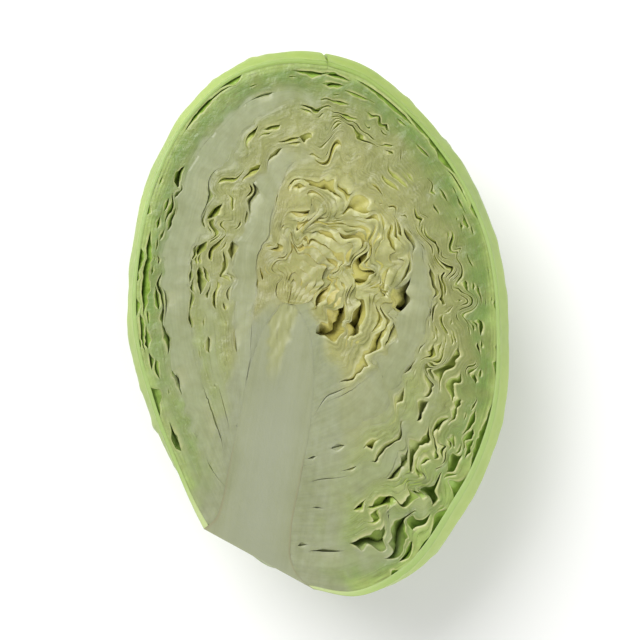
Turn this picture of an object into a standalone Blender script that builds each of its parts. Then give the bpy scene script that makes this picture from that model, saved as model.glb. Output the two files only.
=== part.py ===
"""Half a head of green cabbage, cut lengthwise through its stem and laid on its rounded back.

The stem runs along +Y from the butt to the tip, the cut face looks up along +Z, and the origin is
on the surface that the half lies on, under the middle of the head. Sizes are in millimetres.

Every leaf is one wrap of the same packing. A place in the packing has three parts: its level, from
0 at the bud to 1 at the outside of the head, its run, from 0 at the stem to 1 at the apex, and its
turn round the stem, from 0 on the right of the cut face to pi on the left.
"""

import bpy
import numpy as np

MM = 0.001

# The head's section, as (distance from the stem's axis, height above the middle of the butt).
HEAD_RIGHT = [(24.2, -8.2), (39, -8.4), (57, 1.5), (71, 25), (78.6, 56), (76, 86), (66, 120),
              (46, 147), (28, 161.5), (13, 169.5), (0, 172)]
HEAD_LEFT = [(15.4, 5.6), (25, 18.5), (42, 42), (53, 68), (56.2, 96), (54.5, 120), (46, 145),
             (31, 163), (14, 170.5), (0, 172)]
HEART_RIGHT = [(13.4, 58), (24, 62), (33, 73), (38, 89), (36, 108), (25.5, 124), (11, 131.5), (0, 133)]
HEART_LEFT = [(9, 62), (11.4, 74), (12.8, 90), (13, 106), (11.4, 120), (6.4, 130), (0, 133)]
BUD_RIGHT = [(2.6, 84.2), (7, 86), (9, 92), (7, 99), (0, 104)]
BUD_LEFT = [(2.2, 84.2), (4.2, 86), (5, 92), (4, 99), (0, 104)]
# The side of the stem where leaves root, from its tip down to the butt and out along the butt.
STEM_RIGHT = [(2.6, 84.2), (8, 77), (12, 64), (13.8, 46), (13.6, 26), (13.6, 8), (15, 0), (18.4, -4.8),
              (24.2, -8.2)]
STEM_LEFT = [(2.2, 84.2), (6, 77), (8.8, 64), (9.8, 46), (10.6, 28), (11, 16), (12, 10), (15.4, 5.6)]
HEART_LEVEL = 0.4
BUTT_SLOPE = -0.35
BUTT_HEIGHT = 0.2

# The packing.
LEAVES = 18
WRAPPERS = 2
HEART_LEAVES = 4
WRAPPER_SHARE = 0.55
HEART_SHARE = 2.3
LEAF_GAP = 0.55
STEM_GAP = 0.4
BUD_GAP = 0.7
LEAF_THICKNESS = 2.4
HEART_THICKNESS = 1.7
WRAPPER_EDGE = 0.28
RIB_WIDTH = 0.17
# Midribs that the knife ran along: leaf, turn, extra share, and the run where each has thinned out.
CUT_RIBS = [
    (6, np.pi, 3.6, 1.0),
    (13, np.pi, 4.2, 0.98),
    (9, np.pi, 0.7, 0.45),
    (13, 0.0, 2.6, 0.66),
    (9, 0.0, 1.0, 0.34),
    (4, 0.0, 3.0, 0.24),
    (3, np.pi, 0.5, 0.3),
]

# Crumpling, as shares of a level.
FOLD_SEED = 11
FOLD_CELLS = 9.0
FOLD_LEVELS = 2.0
FOLD_DEPTH = 0.05
FOLD_SLIP = 0.02
LOOSE_DEPTH = 0.07
LOOSE_RUN = 0.24
LOOSE_LEVEL = 0.74

# The rounded back and the spot that it lies on.
DEEPEST = 68.4
FLAT_DEPTH = 1.6
PACK_DEPTH = 52.0
FACE_HEIGHT = DEEPEST - FLAT_DEPTH
MIDDLE = (11.4, 81.68)

# Facets: cut edges are finer than the hidden backs.
EDGE_SEGMENTS = 36
TURNS = [0, 0.16, 0.45, 0.8, 1.18, np.pi / 2, 1.96, 2.34, 2.69, 2.98, np.pi]
THINNING = [1, 2, 4, 4, 4, 4, 4, 4, 4, 2, 1]
WRAPPER_SHARES = [0, 0.12, 0.24, 0.36, 0.46, 0.53, 0.57, 0.6, 0.63, 0.67, 0.74, 0.83, 0.92, 1]

# Veins on the outside of the wrapper leaves. The midrib's share is from the cut face to the free edge.
LEAF_LENGTH = 215.0
LEAF_GIRTH = 135.0
MIDRIB_SHARE = 0.6
MIDRIB_HEIGHT = 3.6
MIDRIB_WIDTH = 5.5
VEIN_HEIGHT = 1.3
VEIN_WIDTH = 5.0
VEIN_SPACING = 30.0
VEIN_RISE = 1.05

PALE_GREEN = (0.36, 0.52, 0.16, 1)
BRIGHT_GREEN = (0.27, 0.47, 0.08, 1)
CREAM = (0.60, 0.58, 0.27, 1)
WHITE = (0.66, 0.67, 0.50, 1)


def curve(points):
    """A smooth curve through the points, as a function of 0 to 1 along its length."""
    points = np.array(points, float)
    steps = np.linalg.norm(np.diff(points, axis=0), axis=1)
    at = np.concatenate([[0], np.cumsum(steps)]) / steps.sum()
    slopes = np.gradient(points, at, axis=0)

    def sample(t):
        t = np.clip(np.asarray(t, float), 0, 1)
        i = np.clip(np.searchsorted(at, t, side="right") - 1, 0, len(at) - 2)
        span = (at[i + 1] - at[i])[..., None]
        u = (t[..., None] - at[i][..., None]) / span
        start = points[i] * (1 + 2 * u) * (1 - u) ** 2 + slopes[i] * span * u * (1 - u) ** 2
        end = points[i + 1] * u**2 * (3 - 2 * u) + slopes[i + 1] * span * u**2 * (u - 1)
        return start + end

    return sample


HEAD = curve(HEAD_RIGHT), curve(HEAD_LEFT)
HEART = curve(HEART_RIGHT), curve(HEART_LEFT)
BUD = curve(BUD_RIGHT), curve(BUD_LEFT)
STEM = curve(STEM_RIGHT), curve(STEM_LEFT)


def ease(low, high, x):
    """0 below low, 1 above high, and a smooth step between."""
    t = np.clip((x - low) / (high - low), 0, 1)
    return t * t * (3 - 2 * t)


def noise(points, seed):
    """Smooth noise of about -1 to 1: a random slope at each whole-number point, blended between."""
    rng = np.random.default_rng(seed)
    order = rng.permutation(256)
    slopes = rng.normal(size=(256, 3))
    slopes /= np.linalg.norm(slopes, axis=1, keepdims=True)
    cell = np.floor(points).astype(int)
    local = points - cell
    fade = local**3 * (local * (local * 6 - 15) + 10)
    total = np.zeros(points.shape[:-1])
    for corner in np.ndindex(2, 2, 2):
        at = (cell + corner) & 255
        index = order[(order[(order[at[..., 0]] + at[..., 1]) & 255] + at[..., 2]) & 255]
        weight = np.prod(np.where(corner, fade, 1 - fade), axis=-1)
        total += weight * np.sum(slopes[index] * (local - corner), axis=-1)
    return 1.7 * total


def side_mix(right, left, turn):
    """The value at a turn round the stem, between those on the right and on the left."""
    share = ((1 - np.cos(turn)) / 2)[..., None]
    return right * (1 - share) + left * share


def loft(level, run, turn):
    """(distance from the axis, height) between the bud, the heart and the head's outline."""
    bud, heart, head = (side_mix(g[0](run), g[1](run), turn) for g in (BUD, HEART, HEAD))
    low = np.clip(level / HEART_LEVEL, 0, 1)[..., None]
    high = np.clip((level - HEART_LEVEL) / (1 - HEART_LEVEL), 0, 1)[..., None]
    return bud + (heart - bud) * low + (head - heart) * high


def level_size(level, run, turn):
    """Millimetres for one whole level, here."""
    step = 0.02
    inner = np.clip(level - step, 0, 1 - 2 * step)
    return np.linalg.norm(loft(inner + 2 * step, run, turn) - loft(inner, run, turn), axis=-1) / (2 * step)


def place(level, run, turn):
    """The point, in millimetres, of a place in the packing."""
    level, run, turn = np.broadcast_arrays(level, run, turn)
    radius_height = loft(level, run, turn)
    root = side_mix(STEM[0](level), STEM[1](level), turn)
    radius_height += (root - loft(level, 0 * run, turn)) * ((1 - run) ** 5)[..., None]
    radius, height = radius_height[..., 0], radius_height[..., 1]
    z = FACE_HEIGHT - radius * np.sin(turn)
    resting = (1 - level) * PACK_DEPTH * 0.8
    return np.stack([radius * np.cos(turn), height, np.maximum(z, resting)], axis=-1)


def folded(level, run, turn):
    """The place after crumpling: leaves shift in level together, so that they stay nested."""
    level, run, turn = np.broadcast_arrays(level, run, turn)
    across = (1 - run) * np.cos(turn) * FOLD_CELLS
    down = (1 - run) * np.sin(turn) * FOLD_CELLS
    at = np.stack([across, down, level * FOLD_LEVELS], axis=-1)
    inside = 1 - ease(0.76, 0.94, level)
    free = ease(0.06, 0.3, run) * inside * ease(0, 0.08, level)
    loose = np.exp(-(((run - LOOSE_RUN) / 0.12) ** 2) - ((level - LOOSE_LEVEL) / 0.16) ** 2)
    loose *= inside * (1 - ease(0.4, 1.2, turn))
    depth = FOLD_DEPTH * free + LOOSE_DEPTH * loose
    shift = depth * noise(at, FOLD_SEED)
    slip = FOLD_SLIP * free * (1 - ease(0.9, 1, run)) * noise(at, FOLD_SEED + 1)
    return level + shift, run + slip


def wrapper_edge(leaf, run):
    """The turn of a wrapper leaf's free edge: the first ends past the middle, over the second's."""
    wave = 0.10 * np.sin(9 * run) + 0.05 * np.sin(23 * run + 1)
    return 2.05 - 0.35 * run + wave if leaf == 0 else 0.75 + 0.3 * run + wave


def shares(run, turn):
    """How much of the packing each leaf takes here, from the outermost leaf to the innermost."""
    run, turn = np.broadcast_arrays(run, turn)
    take = np.ones((LEAVES,) + run.shape)
    take[:WRAPPERS] = WRAPPER_SHARE
    take[-HEART_LEAVES:] = HEART_SHARE
    apart = 1 - ease(0.8, 0.97, run)
    take[0] *= 1 - 0.3 * ease(0.85, 1, run)
    take[0] *= 1 - apart * ease(0.02, WRAPPER_EDGE, turn - wrapper_edge(0, run))
    take[1] *= 1 - apart * ease(0.02, WRAPPER_EDGE, wrapper_edge(1, run) - turn)
    for leaf, at, extra, end in CUT_RIBS:
        thinning = ease(-0.02, 0.06, run) * (1 - ease(end - 0.35, end, run))
        take[leaf] += extra * thinning * np.exp(-(((turn - at) / RIB_WIDTH) ** 2))
    return take


def leaf_levels(leaf, run, turn):
    """The levels of a leaf's inner and outer faces. What its share leaves free, it wanders in."""
    run, turn = np.broadcast_arrays(run, turn)
    take = shares(run, turn)
    outer_bound = 1 - np.sum(take[:leaf], axis=0) / np.sum(take, axis=0)
    share = take[leaf] / np.sum(take, axis=0)
    middle = outer_bound - share / 2
    size = level_size(middle, run, turn)
    room = share * size - LEAF_GAP
    most = HEART_THICKNESS if leaf >= LEAVES - HEART_LEAVES else LEAF_THICKNESS
    ribbed = take[leaf] - np.minimum(take[leaf], 1.1)
    thickness = np.minimum(room, most + (ribbed * 4 if leaf < LEAVES - HEART_LEAVES else 0))
    across = (1 - run) * np.cos(turn) * FOLD_CELLS * 1.3
    down = (1 - run) * np.sin(turn) * FOLD_CELLS * 1.3
    wander = np.clip(noise(np.stack([across, down, 0 * run + 0.5], axis=-1), 40 + leaf), -1, 1)
    middle = middle + (room - thickness) / 2 * wander * ease(0.05, 0.2, run) / size
    if leaf == 0:
        return middle - thickness / 2 / size, np.ones(run.shape)
    return middle - thickness / 2 / size, middle + thickness / 2 / size


def veins(leaf, run, share):
    """Height of a wrapper leaf's midrib and side veins, as ridges that thin away from the base."""
    along = run * LEAF_LENGTH
    across = (share - MIDRIB_SHARE) * LEAF_GIRTH * np.sin(np.pi * np.clip(run * 0.8 + 0.12, 0, 1))
    out = np.abs(across)
    midrib = MIDRIB_HEIGHT * (1 - run) ** 0.7 * np.exp(-((across / MIDRIB_WIDTH) ** 2))
    stray = (along - VEIN_RISE * out + 0.006 * out**2) / VEIN_SPACING + 0.25 * np.sign(across)
    off_vein = (stray - np.round(stray)) * VEIN_SPACING * 0.7
    side = VEIN_HEIGHT * np.exp(-((off_vein / VEIN_WIDTH) ** 2)) * ease(2, 9, out) * ease(0, 0.2, share)
    return np.maximum(midrib, side * ease(0.08, 0.2, run)) * (1 - ease(0.85, 1, run))


def bridge(first, second):
    """Triangles between two rows of points, one with a whole multiple of the other's segments."""
    swap = len(first) > len(second)
    few, many = (second, first) if swap else (first, second)
    times = (len(many) - 1) // (len(few) - 1)
    faces = []
    for i in range(len(few) - 1):
        fine = many[i * times: (i + 1) * times + 1]
        half = (times + 1) // 2
        faces += [(few[i], fine[j + 1], fine[j]) for j in range(half)]
        faces.append((few[i], few[i + 1], fine[half]))
        faces += [(few[i + 1], fine[j + 1], fine[j]) for j in range(half, times)]
    return faces if swap else [face[::-1] for face in faces]


def add_object(name, points, faces, colour, roughness):
    """A smooth-shaded mesh object with its own material. Faces that have shrunk to a line are left out."""
    faces = [face for face in faces if len(set(face)) == 3]
    mesh = bpy.data.meshes.new(name)
    mesh.from_pydata((np.array(points) * MM).tolist(), [], faces)
    mesh.shade_smooth()
    mesh.set_sharp_from_angle(angle=np.radians(40))
    material = bpy.data.materials.new(name)
    material.use_nodes = True
    shader = material.node_tree.nodes["Principled BSDF"]
    shader.inputs["Base Color"].default_value = colour
    shader.inputs["Roughness"].default_value = roughness
    mesh.materials.append(material)
    item = bpy.data.objects.new(name, mesh)
    bpy.context.scene.collection.objects.link(item)
    return item


def leaf_solid(name, rows, colour):
    """A closed leaf from rows of (inner points, outer points), each row ending at the apex."""
    points = [np.array([rows[0][0][-1], rows[0][1][-1]])]
    numbered = []
    count = 2
    for inner, outer in rows:
        size = len(inner) - 1
        points += [inner[:-1], outer[:-1]]
        numbered.append((list(range(count, count + size)) + [0],
                         list(range(count + size, count + 2 * size)) + [1]))
        count += 2 * size
    faces = []
    for (inner_a, outer_a), (inner_b, outer_b) in zip(numbered, numbered[1:]):
        faces += bridge(outer_a, outer_b)
        faces += [face[::-1] for face in bridge(inner_a, inner_b)]
        faces += [(inner_a[0], outer_b[0], outer_a[0]), (inner_a[0], inner_b[0], outer_b[0])]
    faces += bridge(numbered[0][0], numbered[0][1])
    faces += bridge(numbered[-1][1], numbered[-1][0])
    return add_object(name, np.concatenate(points), faces, colour, 0.45)


def shifted(points):
    """Points of the head, moved so that the origin lies under the head's middle."""
    return points - np.array([MIDDLE[0], MIDDLE[1], 0])


def leaf_row(leaf, run, turn):
    """One row of a nested leaf, from the stem to the apex, as inner and outer points."""
    faces = []
    for level in leaf_levels(leaf, run, turn):
        folded_level, folded_run = folded(level, run, turn)
        faces.append(shifted(place(folded_level, folded_run, turn)))
    return tuple(faces)


def nested_leaf(leaf):
    """A head leaf: a full wrap, finest along its two cut edges."""
    rows = []
    for turn, thinning in zip(TURNS, THINNING):
        run = np.linspace(0, 1, EDGE_SEGMENTS // thinning + 1)
        rows.append(leaf_row(leaf, run, np.full(run.shape, turn)))
    colour = CREAM if leaf > LEAVES - 2 * HEART_LEAVES else PALE_GREEN
    leaf_solid(f"leaf_{leaf + 1:02d}", rows, colour)


def wrapper_leaf(leaf):
    """An outside leaf, from the cut face round to its own free edge, with its veins raised."""
    run = np.linspace(0, 1, EDGE_SEGMENTS + 1)
    cut = np.pi * leaf
    rows = []
    for share in WRAPPER_SHARES:
        turn = cut + (wrapper_edge(leaf, run) - cut) * share
        inner, outer = (place(level, run, turn) for level in leaf_levels(leaf, run, turn))
        normal = outer - inner
        normal /= np.maximum(np.linalg.norm(normal, axis=-1, keepdims=True), 1e-6)
        height = veins(leaf, run, share)
        if leaf > 0:
            height = height * ease(0.05, 0.4, turn - wrapper_edge(0, run))
        raised = outer + normal * height[:, None]
        raised[:, 2] = np.clip(raised[:, 2], 0, FACE_HEIGHT)
        rows.append((shifted(inner), shifted(raised)))
    leaf_solid(f"leaf_{leaf + 1:02d}", rows if leaf == 0 else rows[::-1], BRIGHT_GREEN)


def half_turned(name, right, left, colour):
    """A solid turned half round the axis, from the right profile to the left, which start on the axis."""
    rows = []
    for turn in TURNS:
        share = (1 - np.cos(turn)) / 2
        radius, height = (right * (1 - share) + left * share).T
        rows.append(np.stack([radius * np.cos(turn), height, FACE_HEIGHT - radius * np.sin(turn)], axis=-1))
    points = [rows[0][:1]]
    numbered = []
    count = 1
    for row in rows:
        points.append(row[1:])
        numbered.append([0] + list(range(count, count + len(row) - 1)))
        count += len(row) - 1
    faces = []
    for first, second in zip(numbered, numbered[1:]):
        faces += bridge(second, first)
    faces += bridge(numbered[0], numbered[-1])
    faces += [(numbered[0][-1], b[-1], a[-1]) for a, b in zip(numbered[1:], numbered[2:])][::-1]
    return add_object(name, shifted(np.concatenate(points)), faces, colour, 0.5)


def inset(points, gap):
    """A profile that runs down from the tip, moved towards the axis by a gap."""
    points = np.array(points, float)
    along = np.gradient(points, axis=0)
    along /= np.linalg.norm(along, axis=1, keepdims=True)
    moved = points + gap * np.stack([along[:, 1], -along[:, 0]], axis=-1)
    moved[:, 0] = np.maximum(moved[:, 0], 0)
    return moved


def stem():
    """The core: a tapering column, cut off square at the butt."""
    at = np.linspace(0, 1, 15)
    profiles = []
    for side, x_sign in ((STEM_RIGHT, 1), (STEM_LEFT, -1)):
        profile = inset(curve(side[:-1])(at), STEM_GAP)
        profile[-1, 1] = BUTT_HEIGHT + BUTT_SLOPE * x_sign * profile[-1, 0]
        tip = np.array([[0, profile[0, 1] + 0.3]])
        profiles.append(np.concatenate([tip, profile]))
    half_turned("stem", *profiles, WHITE)


def bud():
    """The heart bud: the youngest leaves, a small pointed egg on the stem's tip."""
    at = np.linspace(1, 0.16, 9)
    profiles = []
    for side in (BUD_RIGHT, BUD_LEFT):
        profile = inset(curve(side)(at), BUD_GAP)
        profile[0] = (0, side[-1][1] - BUD_GAP)
        profiles.append(profile)
    half_turned("heart_bud", *profiles, CREAM)


for old in list(bpy.data.objects):
    bpy.data.objects.remove(old)
for number in range(WRAPPERS):
    wrapper_leaf(number)
for number in range(WRAPPERS, LEAVES):
    nested_leaf(number)
stem()
bud()
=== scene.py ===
import bpy
import numpy as np
from mathutils import Matrix, Vector


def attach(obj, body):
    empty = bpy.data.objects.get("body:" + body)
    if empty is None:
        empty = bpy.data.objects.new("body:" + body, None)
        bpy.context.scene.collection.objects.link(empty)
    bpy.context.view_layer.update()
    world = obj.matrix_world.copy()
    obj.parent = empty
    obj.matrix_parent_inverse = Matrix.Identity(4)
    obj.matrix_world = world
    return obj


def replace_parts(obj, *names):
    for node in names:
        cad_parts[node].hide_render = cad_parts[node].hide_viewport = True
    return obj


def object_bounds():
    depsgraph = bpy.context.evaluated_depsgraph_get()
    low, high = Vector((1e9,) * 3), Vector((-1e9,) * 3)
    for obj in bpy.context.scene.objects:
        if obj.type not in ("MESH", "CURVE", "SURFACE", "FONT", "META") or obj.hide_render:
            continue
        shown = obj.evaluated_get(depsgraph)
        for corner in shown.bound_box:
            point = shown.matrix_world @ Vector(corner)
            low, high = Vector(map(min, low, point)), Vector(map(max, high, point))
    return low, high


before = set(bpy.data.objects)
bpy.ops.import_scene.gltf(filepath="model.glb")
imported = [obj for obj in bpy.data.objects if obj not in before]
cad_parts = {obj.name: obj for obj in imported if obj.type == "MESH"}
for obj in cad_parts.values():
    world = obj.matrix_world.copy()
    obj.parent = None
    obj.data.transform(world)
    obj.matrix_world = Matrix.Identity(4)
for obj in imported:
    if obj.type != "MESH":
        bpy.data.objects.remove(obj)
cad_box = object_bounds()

# The stem
# The white core that every leaf grows from, cut lengthwise by the knife and square across at the
# butt. It is firm, wet flesh with fine strands running up it, and it tapers to the heart bud.

# Points are worked out in millimetres from the middle of the butt, and MIDDLE becomes the origin.
MM = 0.001
FACE_HEIGHT = cad_box[1][2] / MM
MIDDLE = np.array([11.4, 81.68, 0])
STEM_RIGHT = [(2.6, 84.2), (8, 77), (12, 64), (13.8, 46), (13.6, 26), (13.6, 8), (15, 0), (18.4, -4.8),
              (24.2, -8.2)]
STEM_LEFT = [(2.2, 84.2), (6, 77), (8.8, 64), (9.8, 46), (10.6, 28), (11, 16), (12, 10), (15.4, 5.6)]
BUTT_SLOPE = -0.35
BUTT_HEIGHT = 0.2
STEM_STATIONS = 150
STEM_TURNS = 48
STEM_ACROSS = 30
FACE_SUNK = 0.03
CORNER_SUNK = 0.04
FACE_WAVE = 0.08
FACE_SEED = 3
# Heights where the brown of the foot's sides and the white of the core fade.
FOOT_BROWN = (25, 50)
BROWN_NARROWNESS = 12
CORE_FADE = (45, 75)
CORE_WHITE = 0.8
# The youngest tissue, left of the tip: heights from its point to its top, and its two sides there.
YOUNG_HEIGHTS = (54, 86)
YOUNG_LEFT = (-2.0, -7.0)
YOUNG_RIGHT = (-0.5, 4.5)
YOUNG_FADE = 16
YOUNG_BLUR = (-0.7, 0.9)
YOUNG_STRAY = 1.1
YOUNG_SUNK = 0.35
YOUNG_FOLDS = 0.6
STRAY_SEED = 4
YOUNG_SEED = 5
CORE_COLOUR = (0.31, 0.335, 0.235, 1)
STEM_TINT = (0.89, 0.88, 0.84, 1)
YOUNG_COLOUR = (0.31, 0.32, 0.125, 1)
CREASE_SHADE = (0.16, 0.16, 0.045, 1)
FOOT_COLOUR = (0.25, 0.22, 0.11, 1)
FLESH_STOPS = [(0.32, (0.245, 0.27, 0.142)), (0.5, (0.288, 0.313, 0.183)), (0.68, (0.322, 0.347, 0.222))]


def curve(points):
    """A smooth curve through the points, as a function of 0 to 1 along its length (cubic Hermite)."""
    points = np.array(points, float)
    steps = np.linalg.norm(np.diff(points, axis=0), axis=1)
    at = np.concatenate([[0], np.cumsum(steps)]) / steps.sum()
    slopes = np.gradient(points, at, axis=0)

    def sample(t):
        t = np.clip(np.asarray(t, float), 0, 1)
        i = np.clip(np.searchsorted(at, t, side="right") - 1, 0, len(at) - 2)
        span = (at[i + 1] - at[i])[..., None]
        u = (t[..., None] - at[i][..., None]) / span
        start = points[i] * (1 + 2 * u) * (1 - u) ** 2 + slopes[i] * span * u * (1 - u) ** 2
        end = points[i + 1] * u**2 * (3 - 2 * u) + slopes[i + 1] * span * u**2 * (u - 1)
        return start + end

    return sample


def ease(low, high, x):
    """0 below low, 1 above high, and a smooth step between: 3t^2 - 2t^3."""
    t = np.clip((x - low) / (high - low), 0, 1)
    return t * t * (3 - 2 * t)


def noise(points, seed):
    """Smooth noise of about -1 to 1: a random slope at each whole-number point, blended between."""
    rng = np.random.default_rng(seed)
    order = rng.permutation(256)
    slopes = rng.normal(size=(256, 3))
    slopes /= np.linalg.norm(slopes, axis=1, keepdims=True)
    cell = np.floor(points).astype(int)
    local = points - cell
    fade = local**3 * (local * (local * 6 - 15) + 10)
    total = np.zeros(points.shape[:-1])
    for corner in np.ndindex(2, 2, 2):
        at = (cell + corner) & 255
        index = order[(order[(order[at[..., 0]] + at[..., 1]) & 255] + at[..., 2]) & 255]
        weight = np.prod(np.where(corner, fade, 1 - fade), axis=-1)
        total += weight * np.sum(slopes[index] * (local - corner), axis=-1)
    return 1.7 * total


def side_mix(right, left, turn):
    """The value at a turn round the stem, between those on the right (turn 0) and the left (turn pi)."""
    share = ((1 - np.cos(turn)) / 2)[..., None]
    return right * (1 - share) + left * share


class Wire:
    """A node's output. Python sums and products of wires and numbers add Math nodes."""

    def __init__(self, shop, socket):
        self.shop = shop
        self.socket = socket

    def maths(self, operation, first, *rest):
        return self.shop.node("ShaderNodeMath", {"operation": operation}, first, *rest)

    def __add__(self, other):
        return self.maths("ADD", self, other)

    def __sub__(self, other):
        return self.maths("SUBTRACT", self, other)

    def __rsub__(self, other):
        return self.maths("SUBTRACT", other, self)

    def __mul__(self, other):
        return self.maths("MULTIPLY", self, other)

    def __truediv__(self, other):
        return self.maths("DIVIDE", self, other)

    def __pow__(self, other):
        return self.maths("POWER", self, other)

    __radd__ = __add__
    __rmul__ = __mul__

    def ramp(self, low, high):
        """0 where this is below low, 1 where it is above high, and a smooth step between."""
        settings = {"interpolation_type": "SMOOTHSTEP"}
        return self.shop.node("ShaderNodeMapRange", settings, self, low, high, 0.0, 1.0)


class Workshop:
    """Makes a material's nodes."""

    def __init__(self, name):
        self.material = bpy.data.materials.new(name)
        self.material.use_nodes = True
        self.tree = self.material.node_tree
        self.shader = self.tree.nodes["Principled BSDF"]

    def plug(self, socket, value):
        if isinstance(value, Wire):
            self.tree.links.new(value.socket, socket)
        else:
            socket.default_value = value

    def node(self, kind, settings, *values, output=0, **named):
        """A node of a kind. Its settings come first, then its sockets, in order or by name."""
        made = self.tree.nodes.new(kind)
        stops = settings.pop("stops", None)
        for key, value in settings.items():
            setattr(made, key, value)
        if stops:
            elements = made.color_ramp.elements
            while len(elements) < len(stops):
                elements.new(0.5)
            for element, (at, colour) in zip(elements, stops):
                element.position = at
                element.color = (*colour, 1)
        for socket, value in zip(made.inputs, values):
            self.plug(socket, value)
        for key, value in named.items():
            self.plug(made.inputs[key.replace("_", " ")], value)
        return Wire(self, made.outputs[output])

    def place(self, scale=(1, 1, 1)):
        """The point on the piece, in metres, stretched."""
        point = self.node("ShaderNodeTexCoord", {}, output="Object")
        return self.node("ShaderNodeMapping", {}, Vector=point, Scale=scale)

    def value(self, name):
        """A value that the mesh carries."""
        return self.node("ShaderNodeAttribute", {"attribute_name": name}, output="Fac")

    def grain(self, where, scale, detail=3.0, roughness=0.55):
        """Cloudy noise of 0 to 1."""
        return self.node("ShaderNodeTexNoise", {}, Vector=where, Scale=scale, Detail=detail,
                         Roughness=roughness)

    def mix(self, amount, first, second, blend="MIX"):
        """The second colour over the first, by an amount."""
        made = self.tree.nodes.new("ShaderNodeMix")
        made.data_type = "RGBA"
        made.blend_type = blend
        made.clamp_factor = True
        for number, value in ((0, amount), (6, first), (7, second)):
            self.plug(made.inputs[number], value)
        return Wire(self, made.outputs[2])

    def colours(self, amount, *stops):
        """A run of colours over 0 to 1."""
        return self.node("ShaderNodeValToRGB", {"stops": stops}, amount)

    def finish(self, colour, roughness, height, depth, soak=()):
        """Feeds the shader: colour, roughness, relief of a depth in metres, and how light soaks in."""
        self.plug(self.shader.inputs["Base Color"], colour)
        self.plug(self.shader.inputs["Roughness"], roughness)
        bump = self.node("ShaderNodeBump", {}, Strength=1.0, Distance=depth, Height=height)
        self.plug(self.shader.inputs["Normal"], bump)
        for key, value in zip(("Weight", "Radius", "Scale"), soak):
            self.shader.inputs["Subsurface " + key].default_value = value
        return self.material


def add_piece(name, points, faces, material, values, sharp):
    """A smooth-shaded piece from points in millimetres and rows of corner numbers, with its values."""
    mesh = bpy.data.meshes.new(name)
    lengths = np.concatenate([np.full(len(f), f.shape[1]) for f in faces])
    corners = np.concatenate([f.ravel() for f in faces])
    mesh.vertices.add(len(points))
    mesh.vertices.foreach_set("co", ((points - MIDDLE) * MM).astype(np.float32).ravel())
    mesh.loops.add(len(corners))
    mesh.loops.foreach_set("vertex_index", corners.astype(np.int32))
    mesh.polygons.add(len(lengths))
    mesh.polygons.foreach_set("loop_start", (np.cumsum(lengths) - lengths).astype(np.int32))
    mesh.update(calc_edges=True)
    mesh.validate()
    for key, value in values.items():
        data = mesh.attributes.new(key, "FLOAT", "POINT").data
        data.foreach_set("value", value.astype(np.float32).ravel())
    mesh.shade_smooth()
    mesh.set_sharp_from_angle(angle=np.radians(sharp))
    mesh.materials.append(material)
    piece = bpy.data.objects.new(name, mesh)
    bpy.context.scene.collection.objects.link(piece)
    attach(piece, "root")
    return piece


def tube(index):
    """Four-cornered faces over a table of point numbers whose rows close on each other."""
    after = np.roll(index, -1, axis=0)
    return np.stack([index[:, :-1], after[:, :-1], after[:, 1:], index[:, 1:]], axis=-1).reshape(-1, 4)


def flesh_colour(shop):
    """White flesh with a faint green tint, in soft clouds and faint strands. The ribs have it too."""
    strands = shop.grain(shop.place((420, 22, 420)), 1.0, 3.0)
    clouds = shop.grain(shop.place(), 60.0, 4.0)
    return shop.colours(strands * 0.4 + clouds * 0.6, *FLESH_STOPS)


def flesh_material():
    """Firm white flesh, whitest in the middle of the stem and brown in places along its sides."""
    shop = Workshop("stem_flesh")
    clouds = shop.grain(shop.place(), 55.0, 3.0)
    strands = shop.grain(shop.place((900, 28, 500)), 1.0, 4.0)
    flesh = shop.mix(shop.value("core"), flesh_colour(shop), CORE_COLOUR)
    flesh = shop.mix(1.0, flesh, STEM_TINT, "MULTIPLY")
    creases = shop.grain(shop.place((650, 130, 650)), 1.0, 3.0).ramp(0.56, 0.68)
    young = shop.mix(creases * 0.5, YOUNG_COLOUR, CREASE_SHADE)
    flesh = shop.mix(shop.value("young") * 0.75, flesh, young)
    edge = shop.value("edge").ramp(0.3, 1.0) * clouds.ramp(0.2, 0.55)
    colour = shop.mix(edge * 0.6, flesh, FOOT_COLOUR)
    cells = shop.grain(shop.place(), 1400.0, 2.0)
    return shop.finish(colour, 0.32 + clouds * 0.25, strands * 0.3 + cells * 0.3, 0.00012,
                       soak=(0.25, (0.004, 0.004, 0.002), 1.0))


def stem_profiles():
    """The stem's two sides from tip to butt, each ending on the butt's cut."""
    at = np.linspace(0, 1, STEM_STATIONS) ** 0.8
    sides = []
    for side, sign in ((STEM_RIGHT, 1), (STEM_LEFT, -1)):
        line = curve(side)(at)
        line[:, 1] = np.maximum(line[:, 1], BUTT_HEIGHT + BUTT_SLOPE * sign * line[:, 0])
        line[-1, 1] = BUTT_HEIGHT + BUTT_SLOPE * sign * line[-1, 0]
        sides.append(line)
    return sides


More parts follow.
